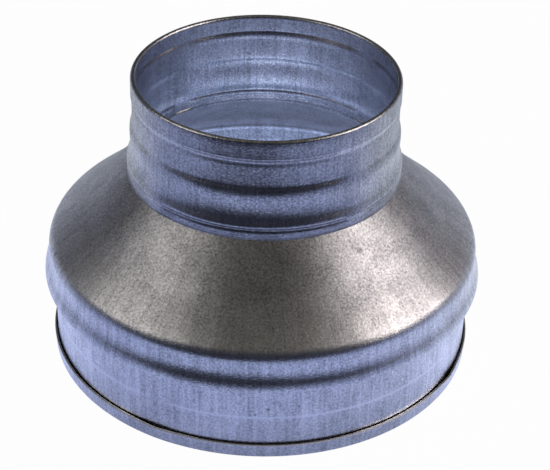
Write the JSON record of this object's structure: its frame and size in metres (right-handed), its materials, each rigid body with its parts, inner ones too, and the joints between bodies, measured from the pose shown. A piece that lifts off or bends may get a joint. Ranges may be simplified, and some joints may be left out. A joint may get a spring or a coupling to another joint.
{
  "type": "duct reducer",
  "caption": "Round sheet-steel duct reducer: a wide socket with a folded edge, a conical dome and a narrow spigot with pressed bands, joining a wide duct to a narrow one.",
  "frame": {"origin": "middle of the wide end, on the plane of its folded edge", "axes": "+Z along the duct from the wide end to the narrow end, front (towards the picture's camera) at -Y, +X to the right"},
  "size_m": [0.1694, 0.1694, 0.114],
  "materials": {
    "galvanised_steel": "satin"
  },
  "bodies": {
    "root": {"reducer": "galvanised_steel"}
  },
  "joints": []
}
